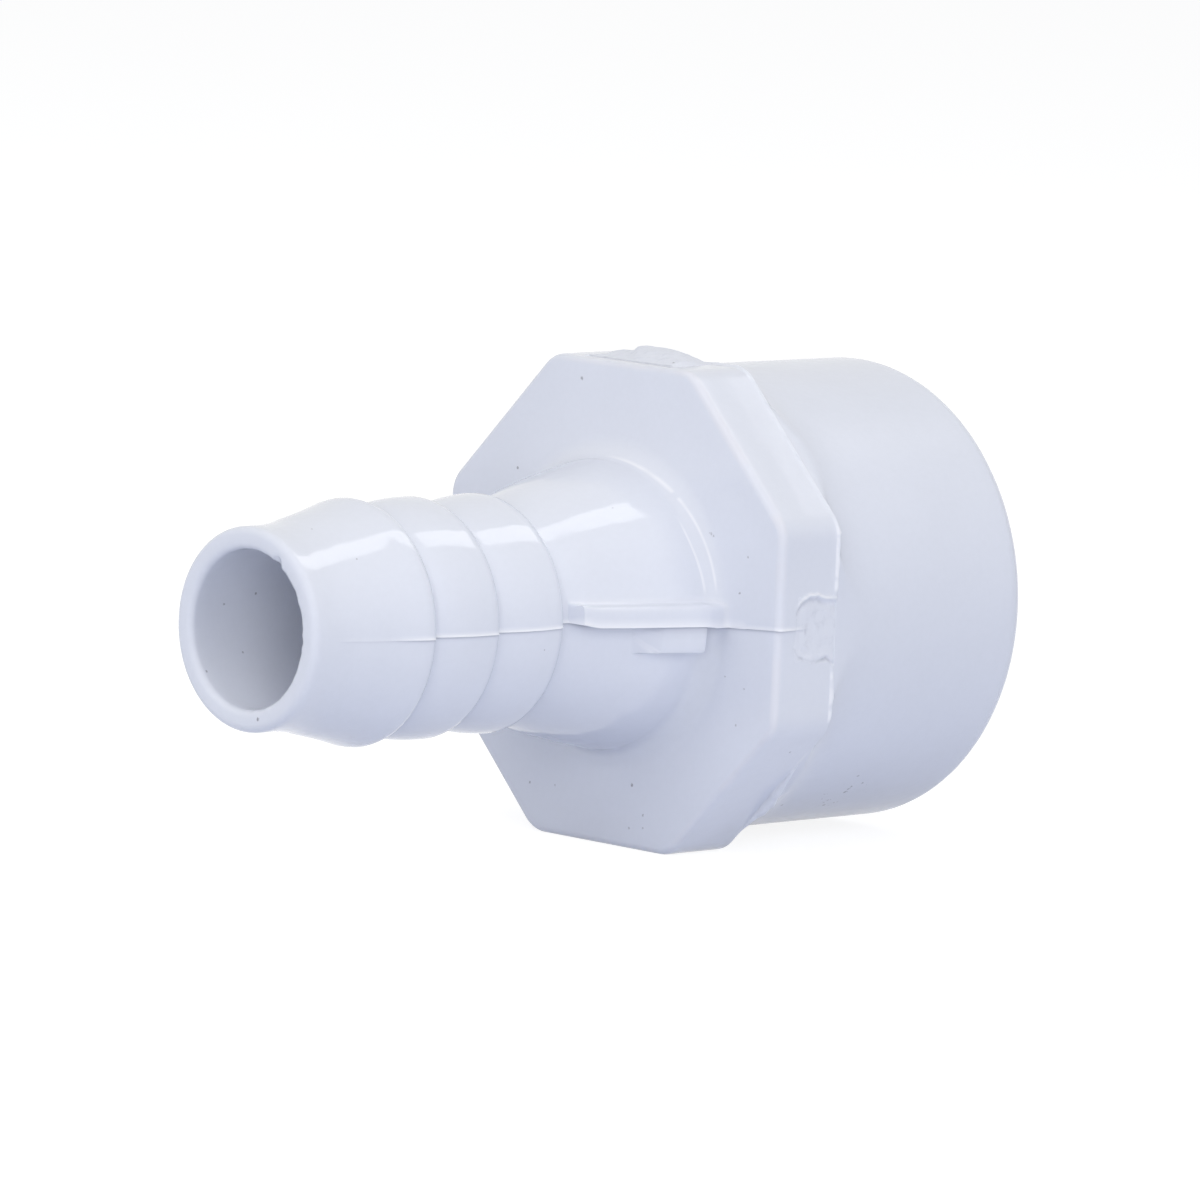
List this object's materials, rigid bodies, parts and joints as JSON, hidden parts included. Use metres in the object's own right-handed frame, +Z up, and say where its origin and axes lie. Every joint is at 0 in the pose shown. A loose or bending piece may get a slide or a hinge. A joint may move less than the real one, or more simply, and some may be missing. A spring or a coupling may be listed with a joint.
{
  "type": "pvc hose barb",
  "caption": "Moulded PVC adapter with a barbed hose tail, a flared shoulder, an octagonal wrench flange and a plain round socket for rigid pipe.",
  "frame": {"origin": "on the fitting's axis, at the stop inside the socket where the pipe's end seats", "axes": "+X along the axis, from the hose tail to the socket's mouth; +Z up, square to the parting plane, with the flange's lowest flat level; -Y towards the side with the rib and the lug"},
  "size_m": [0.0523, 0.0291, 0.0305],
  "materials": {
    "white_pvc": "glossy, moulded, slightly bluish white"
  },
  "bodies": {
    "root": {"hose_barb_fitting": "white_pvc"}
  },
  "joints": []
}
